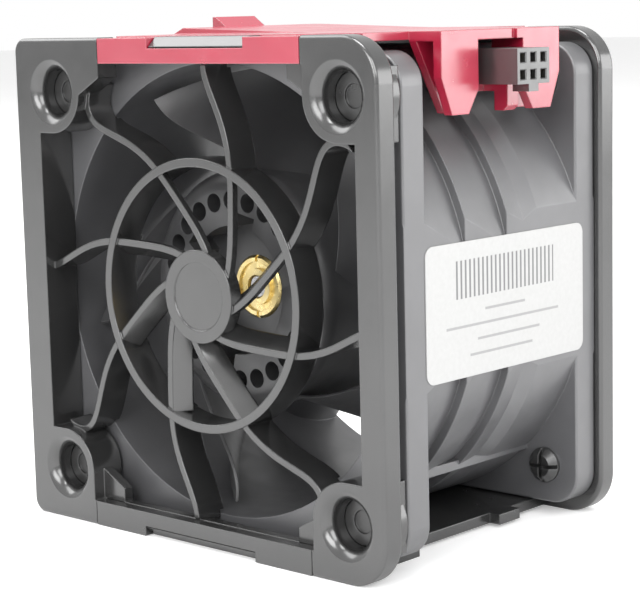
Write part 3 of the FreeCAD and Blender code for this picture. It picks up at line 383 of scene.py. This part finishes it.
GUARD_RIBS = 8
GUARD_FIRST_ANGLE = 135.0
GUARD_LAG = (-140.4, 622.1, -1313.4, 1304.6, -476.6)
BORE_RADIUS = 28.7
VANE_INNER = 5.4
VANE_OUTER = 16.5
VANE_FRONT = 1.52
VANE_REAR = 3.8
VANE_START = 0.38
VANE_SET = 1.5
VANE_THICK = 0.7
VANE_STATIONS = 14
SLOPE_STEP = 0.1
CREASE_ANGLE = math.radians(40)


def lag_angle(r):
    """How far a rib has turned at a radius, from the angle at which it is listed."""
    return sum(factor * (r / BORE_RADIUS) ** power for power, factor in enumerate(GUARD_LAG))


def vane_section(r, first_angle, front, axis_height):
    """The four corners of a vane at one radius: it leans sideways as it goes back."""
    a = math.radians(first_angle + lag_angle(r))
    change = math.radians(lag_angle(r + SLOPE_STEP) - lag_angle(r - SLOPE_STEP))
    turn = r * change / (2 * SLOPE_STEP)
    length = math.hypot(1, turn)
    radial = Vector((math.cos(a), 0, math.sin(a)))
    around = Vector((-math.sin(a), 0, math.cos(a)))
    side = (around - radial * turn) / length
    start = radial * r + side * VANE_START + Vector((0, VANE_FRONT, 0))
    lean = side * VANE_SET + Vector((0, VANE_REAR - VANE_FRONT, 0))
    under = side * -VANE_THICK
    corners = [start + under, start, start + lean, start + lean + under]
    return [(c.x * MM, c.y * MM + front, c.z * MM + axis_height) for c in corners]


def vane_faces(base):
    """Faces of one vane: four long sides between its sections, and its two ends."""
    faces = []
    for station in range(VANE_STATIONS - 1):
        near = base + 4 * station
        for side in range(4):
            following = (side + 1) % 4
            faces.append((near + following, near + side, near + 4 + side, near + 4 + following))
    last = base + 4 * (VANE_STATIONS - 1)
    faces.append((base, base + 1, base + 2, base + 3))
    faces.append((last + 3, last + 2, last + 1, last))
    return faces


def add_guard_vanes():
    low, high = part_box("front_bezel")
    front = low[1]
    axis_height = (low[2] + high[2]) / 2
    points = []
    faces = []
    for rib in range(GUARD_RIBS):
        angle = GUARD_FIRST_ANGLE - rib * 360 / GUARD_RIBS
        faces += vane_faces(len(points))
        for station in range(VANE_STATIONS):
            r = VANE_INNER + (VANE_OUTER - VANE_INNER) * station / (VANE_STATIONS - 1)
            points += vane_section(r, angle, front, axis_height)
    mesh = bpy.data.meshes.new("guard_vanes")
    mesh.from_pydata(points, [], faces)
    mesh.polygons.foreach_set("use_smooth", [True] * len(mesh.polygons))
    mesh.set_sharp_from_angle(angle=CREASE_ANGLE)
    vanes = bpy.data.objects.new("guard_vanes", mesh)
    scene.collection.objects.link(vanes)
    mesh.materials.append(finishes["bezel"].material)
    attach(vanes, "module")


add_guard_vanes()


# Floor and lamps

FLOOR_HALF = 3.0
FLOOR_GLOW = 0.3
FILL_LIGHT = 0.57
MIDDLE = (0, 0, 0.03)


def add_floor():
    """Pale paper, with a glow that only the camera sees."""
    corners = [(-FLOOR_HALF, -FLOOR_HALF, 0), (FLOOR_HALF, -FLOOR_HALF, 0),
               (FLOOR_HALF, FLOOR_HALF, 0), (-FLOOR_HALF, FLOOR_HALF, 0)]
    mesh = bpy.data.meshes.new("floor")
    mesh.from_pydata(corners, [], [(0, 1, 2, 3)])
    floor = bpy.data.objects.new("floor", mesh)
    scene.collection.objects.link(floor)
    finish = Finish("floor_paper")
    stops = [(0.3, (0.93, 0.93, 0.93)), (0.7, (0.96, 0.96, 0.96))]
    finish.color(finish.ramp(finish.noise(60.0), stops))
    finish.shader.inputs["Roughness"].default_value = 0.9
    finish.shader.inputs["Emission Color"].default_value = (1, 1, 1, 1)
    path = finish.node("ShaderNodeLightPath")
    glow = finish.spread(path.outputs["Is Camera Ray"], 0.0, FLOOR_GLOW, 0.0, 1.0)
    finish.link(glow, finish.shader.inputs["Emission Strength"])
    mesh.materials.append(finish.material)


add_camera()
add_world(FILL_LIGHT)
add_floor()
add_softbox("key_right", (0.75, -0.25, 0.55), MIDDLE, 0.6, 0.6, 4.5)
add_softbox("upper_left", (-0.62, -0.13, 0.70), MIDDLE, 0.7, 0.7, 5.0)
add_softbox("front_right", (0.35, -0.85, 0.50), MIDDLE, 0.5, 0.7, 6.0)
add_softbox("rear_right", (0.70, 0.72, 0.20), MIDDLE, 0.7, 0.4, 2.6)
add_softbox("overhead", (0.02, -0.04, 0.60), MIDDLE, 0.25, 0.25, 1.7)

scene.view_settings.view_transform = "Standard"
